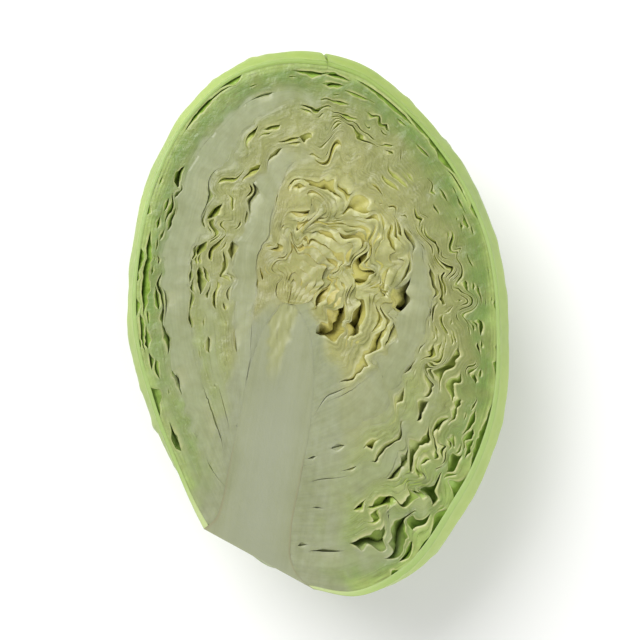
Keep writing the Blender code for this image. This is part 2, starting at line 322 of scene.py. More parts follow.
def stem():
    """A half-round column: rings of a half turn, radius and height mixed from right to left, and a chord.

    The face carries how brown its foot's edges are, how white its core and how young its tip.
    """
    right, left = stem_profiles()
    turn = np.linspace(0, np.pi, STEM_TURNS)[:, None]
    radius, height = np.moveaxis(side_mix(right[None], left[None], turn), -1, 0)
    back = np.stack([radius * np.cos(turn), height, FACE_HEIGHT - radius * np.sin(turn)], axis=-1)
    across = np.linspace(0, 1, STEM_ACROSS + 2)[1:-1, None, None]
    face = back[-1] * (1 - across) + back[0] * across
    over = np.sin(np.pi * across[..., 0])
    face[..., 2] -= FACE_SUNK + FACE_WAVE * (1 + noise(face / [5, 40, 5], FACE_SEED)) * over
    back[[0, -1], :, 2] -= CORNER_SUNK
    strayed = face + YOUNG_STRAY * noise(face / 3.5, STRAY_SEED)[..., None]
    start, end = (np.interp(strayed[..., 1], YOUNG_HEIGHTS, side) for side in (YOUNG_LEFT, YOUNG_RIGHT))
    young = ease(*YOUNG_BLUR, strayed[..., 0] - start) * ease(*YOUNG_BLUR, end - strayed[..., 0])
    young *= ease(YOUNG_HEIGHTS[0], YOUNG_HEIGHTS[0] + YOUNG_FADE, strayed[..., 1])
    folds = np.maximum(noise(face / [1.8, 6, 1.8], YOUNG_SEED), -0.5)
    face[..., 2] -= young * (YOUNG_SUNK + YOUNG_FOLDS * folds)
    rings = np.concatenate([back, face])
    tip = rings[:, :1].mean(axis=0) + [0, 0.4, 0]
    edge = np.abs(2 * across[..., 0] - 1) ** BROWN_NARROWNESS * (1 - ease(*FOOT_BROWN, face[..., 1]))
    core = CORE_WHITE * over * (1 - ease(*CORE_FADE, face[..., 1]))
    behind = 1 - ease(*FOOT_BROWN, back[..., 1])
    values = {"edge": (behind, edge), "core": (0 * behind, core), "young": (0 * behind, young)}
    rows, columns = rings.shape[:2]
    index = 1 + np.arange(rows * columns).reshape(rows, columns)
    top = index[:, 0]
    cap = np.stack([top, np.roll(top, -1), 0 * top], axis=-1)
    return add_piece("stem_core", np.concatenate([tip, rings.reshape(-1, 3)]),
                     [tube(index)[:, ::-1], cap, index[:, -1][None]], flesh_material(),
                     {key: np.concatenate([[0], *(part.ravel() for part in value)])
                      for key, value in values.items()}, sharp=40)


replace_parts(stem(), "stem")

# The packing
# Every leaf of the head wraps the ones inside it. A place in the packing has a level, from 0 at the
# bud to 1 at the outside, a run, from 0 at the stem to 1 at the apex, and a turn round the stem.

HEAD_RIGHT = [(24.2, -8.2), (39, -8.4), (57, 1.5), (71, 25), (78.6, 56), (76, 86), (66, 120),
              (46, 147), (28, 161.5), (13, 169.5), (0, 172)]
HEAD_LEFT = [(15.4, 5.6), (25, 18.5), (42, 42), (53, 68), (56.2, 96), (54.5, 120), (46, 145),
             (31, 163), (14, 170.5), (0, 172)]
HEART_RIGHT = [(13.4, 58), (24, 62), (33, 73), (38, 89), (36, 108), (25.5, 124), (11, 131.5), (0, 133)]
HEART_LEFT = [(9, 62), (11.4, 74), (12.8, 90), (13, 106), (11.4, 120), (6.4, 130), (0, 133)]
BUD_RIGHT = [(2.6, 84.2), (7, 86), (9, 92), (7, 99), (0, 104)]
BUD_LEFT = [(2.2, 84.2), (4.2, 86), (5, 92), (4, 99), (0, 104)]
HEART_LEVEL = 0.4
# The innermost level stays this high over the ground, and those outside it less.
RESTING_RISE = 41.6
HEAD_MIDDLE = 82.0
# Just under the cut the head is widest: how much it draws in above that, over which depth, and from
# which level and run.
BELLY = 0.058
BELLY_DEPTH = 5.0
BELLY_LEVEL = (0.4, 1)
BELLY_RUN = (0.02, 0.25)
ROOT_POWER = 5
LEAVES = 18
WRAPPERS = 2
HEART_LEAVES = 4
WRAPPER_SHARE = 0.55
HEART_SHARE = 2.3
WRAPPER_EDGE = (0.02, 0.28)
# The turn of each wrapper leaf's free edge at the stem, and its change up to the apex.
FREE_EDGES = [(2.05, -0.35), (0.75, 0.3)]
RIB_WIDTH = 0.17
RIB_START = (-0.02, 0.06)
RIB_THINNING = 0.25
RIB_HALFWAY = 0.4
# Midribs that the knife ran along: leaf, turn, extra share, and the run where each has thinned out.
CUT_RIBS = [
    (6, np.pi, 3.6, 1.0),
    (13, np.pi, 4.2, 0.98),
    (9, np.pi, 0.7, 0.45),
    (13, 0.0, 2.6, 0.66),
    (9, 0.0, 1.0, 0.34),
    (4, 0.0, 2.4, 0.18),
    (3, np.pi, 0.5, 0.3),
]
FOLD_SEED = 11
FOLD_CELLS = 9.0
FOLD_LEVELS = 2.0
FOLD_DEPTH = 0.05
FOLD_SLIP = 0.02
# Looser blades low on the right: more depth, and the middle and reach in run, level and turn.
LOOSE_DEPTH = 0.07
LOOSE_RUN = (0.24, 0.12)
LOOSE_LEVEL = (0.74, 0.16)
LOOSE_TURN = (0.4, 1.2)
# Layers of blade in each leaf: a head leaf laps over itself once and a heart leaf twice.
LAYERS = np.array([1] * WRAPPERS + [2] * (LEAVES - WRAPPERS - HEART_LEAVES) + [3] * HEART_LEAVES)
FIRST_LAYER = np.concatenate([[0], np.cumsum(LAYERS)])
# Hollows between layers, in millimetres: across and up the face, half length, width and depth.
HOLLOWS_SEEN = [
    # left of the stem
    (-21, 137, 5.5, 2.8, 3), (-20, 127, 3.0, 3.2, 2.6), (-16, 117, 6.0, 2.6, 2.8), (-29, 113, 2.6, 3.0, 5),
    (-31, 100, 3.0, 3.6, 6), (-43, 121, 4.0, 2.4, 6), (-45, 109, 6.0, 1.3, 4), (-22, 95, 4.0, 1.5, 3),
    (-24, 84, 5.0, 1.2, 3), (-29, 90, 3.6, 1.8, 3), (-34, 88, 2.2, 1.6, 3), (-43, 80, 8.0, 1.3, 5),
    (-40, 76, 6.0, 1.0, 4), (-32, 155, 4.5, 1.6, 3), (-37, 147, 13.0, 1.5, 4), (-14, 142, 3.0, 1.6, 3),
    (-36, 118, 4.0, 1.4, 3), (-26, 124, 4.0, 1.6, 2.6), (-24, 66, 3.0, 2.0, 2.2), (-33, 80, 3.0, 1.6, 3),
    (-45, 65, 4.0, 1.6, 4), (-39, 64, 3.4, 1.6, 5), (-43, 57, 3.0, 1.6, 4), (-40, 45, 5.0, 3.6, 4),
    (-31, 34, 5.5, 2.8, 4), (-32, 52, 5.0, 1.2, 4), (-22, 39, 13.0, 0.7, 3), (-8, 58, 6.0, 0.8, 3),
    (-49, 86, 15.0, 2.4, 5), (-47, 66, 7.0, 1.6, 4), (-14, 70, 5.0, 0.9, 2),
    # the heart
    (-9, 102, 3.2, 2.6, 3), (-4, 114, 3.0, 2.4, 3), (5, 136, 5.0, 2.4, 2.5), (24, 99.5, 8.0, 5.6, 5.0),
    (24, 107, 6.0, 2.6, 2.4), (12, 118, 5.0, 2.6, 2.2), (19, 121, 5.5, 4.2, 3.4), (17, 80, 8.0, 7.0, 9),
    (25, 81, 6.0, 5.4, 8), (11, 88, 4.0, 2.4, 5), (31, 82, 4.0, 1.6, 2.4), (29, 70, 13.0, 2.2, 2.6),
    (33, 96, 5.0, 2.2, 2.4), (8, 108, 4.0, 1.6, 2), (0, 104, 3.0, 1.6, 2.4), (30, 114, 4.0, 2.0, 2),
    (14, 128, 4.0, 1.6, 1.8), (-2, 124, 4.0, 1.4, 2), (40, 92, 6.5, 5.6, 12),
    # right of the heart
    (38, 112, 5.5, 1.9, 4), (49, 105, 5.5, 1.7, 5), (56, 107, 7.5, 0.9, 3), (49, 94, 1.6, 2.0, 5),
    (54, 84, 3.0, 2.6, 6), (45, 100, 3.0, 1.7, 4), (57, 71, 8.0, 3.2, 6), (60, 66, 5.0, 2.4, 6),
    (66, 62, 2.4, 1.6, 5), (66.5, 70, 1.8, 1.6, 5), (66, 78, 2.4, 1.3, 4), (42, 57, 3.6, 2.2, 4),
    (60.5, 57.5, 4.6, 2.6, 6), (51, 55, 3.6, 3.6, 6), (67.5, 55, 5.0, 2.4, 6), (56, 94, 3.0, 1.2, 3),
    (50, 74, 4.0, 1.8, 3), (46, 68, 4.0, 1.6, 3), (62, 92, 5.0, 0.9, 3), (52, 64, 3.6, 2.0, 5),
    # under the top rim
    (-6, 163, 5.5, 2.2, 4), (3, 160, 4.0, 1.8, 4), (21, 158, 13.0, 1.5, 4), (33, 151, 6.0, 1.1, 3),
    (43.5, 143, 8.0, 1.5, 4), (50, 133, 7.0, 0.7, 3), (8, 150, 4.0, 1.2, 2), (-20, 152, 4.0, 1.0, 2),
    # the folded blades right of the stem's foot
    (41, 43, 8.0, 2.6, 5), (47, 39, 4.0, 2.4, 5), (64, 40, 4.4, 6.4, 8), (59, 30.5, 6.0, 8.0, 9),
    (47, 26.5, 5.5, 4.6, 7), (42.5, 20, 4.0, 4.0, 7), (41, 11, 7.0, 5.0, 8), (49, 12.5, 8.0, 7.0, 9),
    (57.5, 18, 5.0, 4.0, 7), (36, 7.5, 3.0, 2.6, 5), (27, 3.5, 6.0, 0.9, 3), (18, 4.5, 1.6, 1.2, 1.8),
    (52.5, 30, 4.4, 4.2, 7), (67, 49, 4.4, 2.6, 6), (66.5, 33, 4.5, 3.0, 6),
    (63.5, 21, 5.0, 3.0, 6), (50, 41, 4.5, 3.6, 6), (43, 33, 4.0, 2.6, 5),
    (52, 46, 4.0, 2.4, 5), (44, 47, 4.0, 1.6, 4), (57, 51, 3.6, 2.6, 5),
    (24, 39, 2.4, 1.8, 1.4), (16, 34, 1.2, 1.0, 1.4), (21, 17, 2.0, 0.5, 1.2), (30, 31, 3.0, 0.6, 1.4),
    (-14, 24, 7.0, 0.3, 1.2), (-15, 46, 8.0, 0.3, 1.2), (-12, 66, 7.0, 0.35, 1.4), (19, 56, 8.0, 0.3, 1.2),
    (27, 52, 9.0, 0.3, 1.2), (24, 26, 8.0, 0.25, 1.0),
    # the outer leaves' free strip
    (74, 52, 12.0, 1.8, 6),
]
# Groups of small hollows: across and up the face, reach, how many, half length, width and depth.
HOLLOW_GROUPS = [
    (47, 22, 12, 20, 3.4, 2.8, 5),
    (60, 48, 8, 24, 2.6, 1.6, 4),
    (56, 82, 10, 60, 2.2, 1.1, 2.6),
    (48, 116, 13, 60, 2.6, 0.8, 2),
    (-45, 108, 9, 34, 2.6, 1.2, 2.8),
    (-42, 72, 8, 26, 2.6, 1.1, 2.6),
    (-30, 110, 9, 30, 2.0, 1.3, 2.4),
    (-24, 84, 9, 34, 2.2, 1.0, 2.2),
    (-6, 112, 10, 24, 2.0, 1.4, 2),
    (20, 98, 12, 22, 3.0, 2.2, 2.4),
    (14, 130, 14, 26, 2.4, 1.1, 1.8),
    (4, 152, 18, 50, 3.0, 0.9, 2),
    (10, 95, 50, 90, 1.4, 0.5, 1.6),
]
HOLLOW_SEED = 5
HOLLOW_STRAY = 1.5
HOLLOW_CLEARANCE = 0.4
OUT_OF_REACH = 50.0
# Midrib share, run and distance from the stem that keep a small hollow away.
NO_HOLLOW = (0.25, 0.03, 0.95)
ROOTED_RUN = 0.01
# Small hollows vary in size by a power of e (mean and spread), and their bends lie between these.
HOLLOW_SIZES = (-0.1, 0.4)
HOLLOW_BENDS = (0.8, 2.4)
HOLLOW_POINT = (0.6, 0.3)
HOLLOW_LEAN = 0.45
HOLLOW_RAGGED = 0.5
RAGGED_SEED = 27
# How many layers give way on each side of a hollow, how that falls off, and the least left of one.
GIVING = 5
GIVING_REACH = 2.5
GIVING_LEAN = 0.9
LEAST_LEFT = 0.35
SHUT_GAP = 0.006
SLACK_GAP = 0.05
SLACK_NOISE = (0.15, 0.8)
SLACK_SEED = 25
GAP_RUN = (0.02, 0.1)
# Blades vary in thickness, but less at the stem, in the outer bands and along midribs.
THICK_CHANGE = 0.45
THICK_SEED = 23
FREE_RUN = (0.1, 0.25)
FREE_LEVEL = (0.88, 0.97)
FREE_RIB = (0.05, 0.4)
# Each layer reads its own part of the noise, this far from the next one's.
NOISE_SHIFT = np.array([3.7, 5.3, 7.1])
STEM_TIP = 84.2
# How far the white of the stem reaches: low down on its right and left, and above those heights.
WHITE_REACH = (21.0, 12.0, 6.0)
WHITE_HEIGHTS = (40.0, 80.0)

HEAD = curve(HEAD_RIGHT), curve(HEAD_LEFT)
HEART = curve(HEART_RIGHT), curve(HEART_LEFT)
BUD = curve(BUD_RIGHT), curve(BUD_LEFT)
ROOTS = curve(STEM_RIGHT), curve(STEM_LEFT)


def loft(level, run, turn):
    """(distance from the axis, height) between the bud, the heart and the head's outline, by level."""
    bud, heart, head = (side_mix(g[0](run), g[1](run), turn) for g in (BUD, HEART, HEAD))
    low = np.clip(level / HEART_LEVEL, 0, 1)[..., None]
    high = np.clip((level - HEART_LEVEL) / (1 - HEART_LEVEL), 0, 1)[..., None]
    return bud + (heart - bud) * low + (head - heart) * high


def level_size(level, run, turn):
    """Millimetres for one whole level, here."""
    step = 0.04
    inner = np.clip(level - step / 2, 0, 1 - step)
    return np.linalg.norm(loft(inner + step, run, turn) - loft(inner, run, turn), axis=-1) / step


def place(level, run, turn):
    """The point of a place in the packing: the loft, drawn to the stem's side where the run starts.

    Near the cut the outer levels draw in a little, so that the half is widest just under it.
    """
    level, run, turn = np.broadcast_arrays(level, run, turn)
    radius_height = loft(level, run, turn)
    root = side_mix(ROOTS[0](level), ROOTS[1](level), turn)
    radius_height += (root - loft(level, 0 * run, turn)) * ((1 - run) ** ROOT_POWER)[..., None]
    radius, height = radius_height[..., 0], radius_height[..., 1]
    below = np.maximum(radius, 0) * np.sin(turn)
    drawn = BELLY * np.exp(-((below / BELLY_DEPTH) ** 2))
    drawn *= ease(*BELLY_LEVEL, level) * ease(*BELLY_RUN, run)
    radius = radius * (1 - drawn)
    height = HEAD_MIDDLE + (height - HEAD_MIDDLE) * (1 - drawn)
    z = FACE_HEIGHT - radius * np.sin(turn)
    resting = (1 - level) * RESTING_RISE
    return np.stack([radius * np.cos(turn), height, np.maximum(z, resting)], axis=-1)


def wrapper_edge(leaf, run):
    """The turn of a wrapper leaf's free edge: the first ends past the middle, over the second's."""
    wave = 0.10 * np.sin(9 * run) + 0.05 * np.sin(23 * run + 1)
    start, change = FREE_EDGES[leaf]
    return start + change * run + wave


def layer_shares(run, turn):
    """Each layer's share of the packing and how much of it is midrib, outermost first."""
    run, turn = np.broadcast_arrays(run, turn)
    leaf_take = np.ones((LEAVES,) + run.shape)
    leaf_take[:WRAPPERS] = WRAPPER_SHARE
    leaf_take[-HEART_LEAVES:] = HEART_SHARE
    leaf_take[0] *= 1 - ease(*WRAPPER_EDGE, turn - wrapper_edge(0, run))
    leaf_take[1] *= 1 - ease(*WRAPPER_EDGE, wrapper_edge(1, run) - turn)
    take = np.repeat(leaf_take / LAYERS[:, None, None], LAYERS, axis=0)
    extra = np.zeros(take.shape)
    for leaf, at, share, end in CUT_RIBS:
        thinning = ease(*RIB_START, run) * (1 - ease(end - RIB_THINNING, end, run))
        extra[FIRST_LAYER[leaf]] += share * thinning * np.exp(-(((turn - at) / RIB_WIDTH) ** 2))
    take = take + extra
    return take / np.sum(take, axis=0), extra / (extra + RIB_HALFWAY)


def layer_middles(shares):
    """The level at the middle of each layer."""
    return 1 - (np.cumsum(shares, axis=0) - shares / 2)


def off_stem(points):
    """How far points are from the stem's side or tip, over how far the white of the stem reaches."""
    across = np.hypot(points[..., 0], FACE_HEIGHT - points[..., 2]) * np.sign(points[..., 0])
    height = points[..., 1]
    stops = np.linspace(1, 0, 60)
    sides = [root(stops) for root in ROOTS]
    right, left = (np.interp(height, side[:, 1], side[:, 0]) for side in sides)
    beside = np.maximum(np.where(across > 0, across - right, -across - left), 0)
    away = np.hypot(beside, np.maximum(height - STEM_TIP, 0))
    low = 1 - ease(*WHITE_HEIGHTS, height)
    return away / (WHITE_REACH[2] + (np.where(across > 0, *WHITE_REACH[:2]) - WHITE_REACH[2]) * low)


def face_map():
    """Where the layers meet the knife's face, right and left, and how far each place is from the apex."""
    run = np.linspace(0, 1, 300)
    turn = np.array([[0.0], [np.pi]])
    shares, rib = layer_shares(run[None], turn)
    level = layer_middles(shares)
    points = place(level, run[None], turn[None])
    steps = np.linalg.norm(np.diff(points, axis=2), axis=-1)
    to_apex = np.cumsum(steps[..., ::-1], axis=-1)[..., ::-1]
    return run, points, rib, level, np.concatenate([to_apex, 0 * steps[..., :1]], axis=-1)


def scatter_hollows():
    """Hollows, each at the layer and place nearest to its spot. Small ones keep off ribs and each other.

    A place along a layer is measured from the apex, more than 0 on the right and less on the left.
    """
    rng = np.random.default_rng(HOLLOW_SEED)
    run, face, rib, _, to_apex = MAP
    ribbed, started, whitest = NO_HOLLOW
    barred = (np.maximum(rib, np.roll(rib, -1, axis=0)) > ribbed) | (run < started)
    barred |= off_stem(face) < whitest
    barred[[0, -1]] = True
    hollows, taken = [], []
    wanted = [((x, y), size, run < ROOTED_RUN) for x, y, *size in HOLLOWS_SEEN]
    for x, y, reach, count, *size in HOLLOW_GROUPS:
        spots = rng.normal((x, y), reach, (count, 2))
        scales = np.exp(rng.normal(*HOLLOW_SIZES, (count, 1)))
        wanted += [(spot, np.array(size) * scale, barred) for spot, scale in zip(spots, scales)]
    for spot, (half, width, depth), bar in wanted:
        away = np.linalg.norm(face[..., :2] - spot, axis=-1) + OUT_OF_REACH * bar
        layer, side, column = np.unravel_index(np.argmin(away), away.shape)
        clear = [np.linalg.norm(np.subtract(spot, other)) - 0.5 * (width + its) for other, its in taken]
        crowded = min(clear, default=1) < HOLLOW_CLEARANCE
        lean, bend = rng.uniform(-1, 1), rng.uniform(*HOLLOW_BENDS)
        if bar is not barred or (away[layer, side, column] < HOLLOW_STRAY and not crowded):
            taken.append((spot, width))
            at = to_apex[layer, side, column] * (1 - 2 * side)
            hollows.append((max(layer, WRAPPERS - 1), at, half, width, depth, lean, bend))
    return hollows


MAP = face_map()
HOLLOWS = scatter_hollows()
APEX_RUN, TO_APEX = MAP[0], MAP[-1]


def packing(run, turn):
    """Inner and outer level, rib share and the gap inside, in millimetres, of every layer.

    A hollow's width falls from its middle to its ends as 1 - |a|^bend and fades with depth. The
    layers near it give way by that much in all, more on the side that it leans to.
    """
    run, turn = np.broadcast_arrays(run, turn)
    shares, rib = layer_shares(run, turn)
    middle = layer_middles(shares)
    points = place(middle, run[None], turn[None])
    size = level_size(middle, run[None], turn[None])
    shift = np.arange(len(shares))[:, None, None, None] * NOISE_SHIFT
    free = ease(*FREE_RUN, run) * (1 - ease(*FREE_LEVEL, middle)) * (1 - ease(*FREE_RIB, rib))
    thick = shares * size * (1 + THICK_CHANGE * noise(points / 8 + shift, THICK_SEED) * free)
    slack = ease(*SLACK_NOISE, noise(points / 6 + shift, SLACK_SEED)) * free
    gaps = (SHUT_GAP + SLACK_GAP * slack) * ease(*GAP_RUN, run)
    left = thick.copy()
    cosine = np.cos(turn)
    for layer, at, half, width, depth, lean, bend in HOLLOWS:
        right, other = (np.interp(run, APEX_RUN, TO_APEX[layer, side]) for side in (0, 1))
        along = (np.where(cosine > 0, right, other) * cosine - at) / half
        along = along + HOLLOW_LEAN * lean * (1 - np.minimum(along**2, 1))
        shape = np.clip(1 - np.abs(along) ** bend, 0, 1) ** (HOLLOW_POINT[0] + HOLLOW_POINT[1] * bend)
        below = FACE_HEIGHT - points[layer, ..., 2]
        uneven = 1 + HOLLOW_RAGGED * noise(points[layer] / 2.2, RAGGED_SEED)
        opening = width * shape * uneven * (1 - ease(0, depth, below))
        gaps[layer] += opening
        near = np.arange(max(layer - GIVING, WRAPPERS), min(layer + GIVING + 2, len(shares)))
        off = near - layer - 0.5
        give = np.exp(-((off / GIVING_REACH) ** 2)) * (1 - GIVING_LEAN * lean * np.sign(off))
        give = give[:, None, None] * left[near] * (1 - rib[near])
        left[near] -= opening * give / np.maximum(np.sum(give, axis=0), 1e-6)
    left = np.maximum(left, LEAST_LEFT * thick)
    parts = np.stack([left / size, gaps / size], axis=1)
    parts /= np.sum(parts, axis=(0, 1))
    ends = 1 - np.cumsum(parts.reshape((-1,) + run.shape), axis=0)
    inner = ends[0::2]
    outer = np.concatenate([np.ones((1,) + run.shape), ends[1:-1:2]])
    return inner, outer, rib, gaps


# Nested leaves
# The blades that fill the head: thin, crisp and crumpled, pressed flat on each other with small
# hollows left between. The knife cut them square, and each has sprung up or down a little there.

RIM_TURNS = np.array([0, 0.01, 0.03, 0.07, 0.16, 0.45])
LAYER_TURNS = np.concatenate([RIM_TURNS, [np.pi / 2], np.pi - RIM_TURNS[::-1]])
LAYER_COLUMNS = 441
CUT_SHARES = (0.12, 0.5, 0.88)
CUT_CORNER = 0.02
BESIDE_CUT = 0.6
LIP_CORNER = 0.3
CUT_ROUNDING = 0.3
OPEN_GAP = 0.9
ROW_STEP = 0.1
ROOTING = 0.4
# Crumples: sizes and depths in millimetres. They go down from the cut face, by less.
CRUMPLES = ((12.0, 1.8), (5.0, 0.5))
CRUMPLE_SINK = 0.35
CRUMPLE_SEED = 41
# Where the head is most crumpled: across and up the face, reach, and how much more.
CRUMPLED_PLACES = [(20, 98, 20, 1.0), (50, 26, 16, 0.7), (-30, 112, 14, 0.2)]
# Swirls, where blades are folded over each other: across and up the face, reach and degrees.
SWIRLS = [(49, 13, 11, 60), (59, 31, 9, 44), (41, 38, 8, 42), (59, 53, 8, -46), (50, 66, 8, 40),
          (41, 21, 7, 40), (24, 103, 11, 55), (8, 116, 11, -50), (33, 90, 7, -40), (4, 134, 12, 36),
          (-28, 108, 7, 40), (-20, 128, 8, -40)]
SWIRL_SEED = 3
SWIRL_TRIES = 500
# Stray swirls: where they are tried, the midrib share, nearness to the stem and level that they keep
# off, their reach and their degrees.
SWIRL_FIELD = ((-60, -5), (80, 170))
NO_SWIRL = (0.2, 1.0, 0.93)
SWIRL_REACH = (3.5, 8)
SWIRL_DEGREES = (25, 65)
SWIRL_DEPTHS = (4.0, 18.0)

# A cut edge's noise: everywhere, and more where it is crumpled. Edges have sunk by SUNK on average.
SPRING = (0.08, 0.3)
SPRING_SHIFT = 2.3
SPRING_SEED = 31
SUNK = 0.15
LUMP_SEED = 34
FINE_SEED = 36
# In crumpled places the edges have sunk by this, more in lumps and a little in fine ones. The
# ridges left between get a painted highlight, as pale as the one on a hollow's lips, by a share.
LUMPS = (0.9, 2.8, 0.3)
RIDGE_PAINTED_HIGHLIGHT = 0.6
RIB_WAVE = 0.12
RIB_WAVE_SEED = 37
# What keeps its shape: how near the stem, how far out, and how far from a midrib, in level and turn.
STEM_CALM = (0.7, 1.4)
OUTER_CALM = (0.8, 0.95)
RIB_CALM = (0.08, 0.5)
# The stem's white: where it fades and by how much that strays, and its reach from a midrib's sides.
WHITE_FADE = (0.35, 1.1)
WHITE_STRAY = 0.3
WHITE_SEED = 35
RIB_WHITE = (0.035, 0.4)
RIB_WHITEST = 0.8
RIB_PALENESS = 0.9
RIB_WHITE_SEED = 38
# The middle of the young tissue over the stem's tip, and its reach, across and up.
YOUNG_SPOT = (-1, 86)
YOUNG_REACH = (5, 6)
YOUNG_DARKER = 0.9

GRID_RUN = (np.linspace(0, 1, LAYER_COLUMNS) ** 0.92)[None, :]
GRID_TURN = LAYER_TURNS[:, None]
INNER, OUTER, RIB, GAPS = packing(GRID_RUN, GRID_TURN)
MIDDLES = (INNER + OUTER) / 2


def thinned(values, like):
    """A layer's values, or every other column of them where the other array has half as many."""
    return values if values.shape == like.shape else values[:, ::2]


def calm(level, run, turn):
    """How far a place keeps its shape: whole at the stem, in the outer bands and round the midribs."""
    points = place(level, run, turn)
    still = 1 - ease(*STEM_CALM, off_stem(points)) * (1 - ease(*OUTER_CALM, level))
    for leaf, at, share, end in CUT_RIBS:
        own = thinned(MIDDLES[FIRST_LAYER[leaf]], level)
        near = np.exp(-(((level - own) / RIB_CALM[0]) ** 2) - ((turn - at) / RIB_CALM[1]) ** 2)
        tapered = 1 - ease(min(end, 0.97) - 0.1, min(end + 0.05, 0.99), run)
        still = np.maximum(still, near * tapered * min(1, share))
    return still


def scatter_swirls():
    """Small stray swirls, tried at random spots and kept where they touch no rib, stem or outer leaf."""
    rng = np.random.default_rng(SWIRL_SEED)
    _, face, rib, level, _ = MAP
    ribbed, whitest, outermost = NO_SWIRL
    held = (rib > ribbed) | (off_stem(face) < whitest) | (level > outermost)
    swirls = []
    for _ in range(SWIRL_TRIES):
        spot = rng.uniform(*SWIRL_FIELD)
        reach, degrees = rng.uniform(*SWIRL_REACH), rng.uniform(*SWIRL_DEGREES) * rng.choice((-1, 1))
        near = np.linalg.norm(face[..., :2] - spot, axis=-1) < reach
        if np.any(near) and not np.any(near & held):
            swirls.append((*spot, reach, degrees))
    return swirls


ALL_SWIRLS = SWIRLS + scatter_swirls()


def swirled(points):
    """The points turned about the middle of each swirl, by an angle that is nothing at its reach."""
    points = points.copy()
    fade = 1 - ease(*SWIRL_DEPTHS, FACE_HEIGHT - points[..., 2])
    for x, y, reach, degrees in ALL_SWIRLS:
        off = points[..., :2] - (x, y)
        near = np.clip(1 - np.sum(off**2, axis=-1) / reach**2, 0, 1)
        angle = np.radians(degrees) * near**2 * fade
        cosine, sine = np.cos(angle), np.sin(angle)
        points[..., 0] = x + off[..., 0] * cosine - off[..., 1] * sine
        points[..., 1] = y + off[..., 0] * sine + off[..., 1] * cosine
    return points


def crumpled(level, run, turn):
    """The folded place: layers shift in level and run by noise that is the same for layers that touch."""
    level, run, turn = np.broadcast_arrays(level, run, turn)
    free = 1 - calm(level, run, turn)
    across = (1 - run) * np.cos(turn) * FOLD_CELLS
    down = (1 - run) * np.sin(turn) * FOLD_CELLS
    at = np.stack([across, down, level * FOLD_LEVELS], axis=-1)
    off_run = (run - LOOSE_RUN[0]) / LOOSE_RUN[1]
    off_level = (level - LOOSE_LEVEL[0]) / LOOSE_LEVEL[1]
    loose = np.exp(-(off_run**2) - off_level**2) * (1 - ease(*LOOSE_TURN, turn))
    shift = (FOLD_DEPTH + LOOSE_DEPTH * loose) * free * noise(at, FOLD_SEED) * ease(0, 0.08, level)
    slip = FOLD_SLIP * free * (1 - ease(0.9, 1, run)) * noise(at, FOLD_SEED + 1)
    return pushed(place(level + shift, run + slip, turn), free)


def pushed(points, free):
    """The points swirled, and moved by smooth noise as far as free. Returns how crumpled they are too."""
    points = swirled(points)
    more = np.ones(points.shape[:-1])
    for x, y, reach, much in CRUMPLED_PLACES:
        more += much * np.exp(-((points[..., 0] - x) ** 2 + (points[..., 1] - y) ** 2) / reach**2)
    push = sum(much * np.stack([noise(points / size, CRUMPLE_SEED + axis) for axis in range(3)], axis=-1)
               for size, much in CRUMPLES)
    push[..., 2] = -CRUMPLE_SINK * np.abs(push[..., 2])
    return points + push * (free * more)[..., None], more


def blade_ring(outer, inner, outside, inside, sink):
    """One layer as a closed ring of rows: out over its outer face, round the cut, back over its inner.

    The cut rows stand between the faces. Corners beside a gap (outside or inside, in millimetres)
    are rounder, and the whole edge has sunk by a height along it. Returns the points and the
    painted highlight on the lips beside open gaps.
    """
    rows = len(outer)
    cuts, painted_highlights = [], []
    from_end = np.minimum(np.arange(rows), np.arange(rows)[::-1])[:, None]
    steps = ROW_STEP * from_end
    outer, inner = outer.copy(), inner.copy()
    corners = []
    for face, gap in ((outer, outside), (inner, inside)):
        top = []
        for row in (0, -1):
            open_here = ease(SLACK_GAP, OPEN_GAP, gap[row])
            corner = CUT_CORNER * ease(SHUT_GAP, SLACK_GAP, gap[row]) + LIP_CORNER * open_here
            top.append((face[row, :, 2] - sink[row], corner, open_here))
        corners.append(top)
        half = rows // 2
        for part, (height, corner, _) in ((slice(0, half + 1), top[0]), (slice(half, rows), top[1])):
            face[part, :, 2] = np.minimum(face[part, :, 2], height - corner - steps[part])
    for side, row in ((1, -1), (0, 0)):
        strips, strip_highlights = [], []
        for share in CUT_SHARES:
            strip = inner[row] * (1 - share) + outer[row] * share
            own = corners[0][side] if share > 0.5 else corners[1][side]
            level = corners[1][side][0] * (1 - share) + corners[0][side][0] * share
            strip[:, 2] = level - CUT_ROUNDING * own[1] * (share != 0.5)
            strips.append(strip)
            # The cut strips get a painted highlight where a gap beside them is open.
            both = 0.5 * (corners[0][side][2] + corners[1][side][2])
            strip_highlights.append(own[2] if share != 0.5 else 0.5 * both)
        cuts.append(strips if row == 0 else strips[::-1])
        painted_highlights.append(strip_highlights if row == 0 else strip_highlights[::-1])
    ring = np.concatenate([outer, cuts[0], inner[::-1], cuts[1]])
    fade = np.exp(-from_end)
    # The faces' rows next to the cut get the same painted highlight, fading away from it.
    face_highlights = []
    for top in corners:
        own = np.where(np.arange(rows)[:, None] < rows / 2, top[0][2], top[1][2])
        face_highlights.append(own * fade)
    painted_highlight = np.concatenate([face_highlights[0], painted_highlights[0], face_highlights[1][::-1], painted_highlights[1]])
    return ring, painted_highlight


def around(outer, inner, cut=None):
    """Values of the faces' rows carried round the ring. The cut rows have one value, or those between."""
    if cut is not None:
        cuts = [np.full((3, outer.shape[1]), cut)] * 2
    else:
        cuts = [np.stack([inner[row] * (1 - share) + outer[row] * share for share in shares])
                for row, shares in ((-1, CUT_SHARES[::-1]), (0, CUT_SHARES))]
    return np.concatenate([outer, cuts[0], inner[::-1], cuts[1]])


def cut_mark(run):
    """1 on the cut rows, less on the first rows of the faces beside them, and 0 on the rest."""
    mark = np.zeros(run.shape)
    mark[[0, -1]] = BESIDE_CUT
    return around(mark, mark, 1.0)


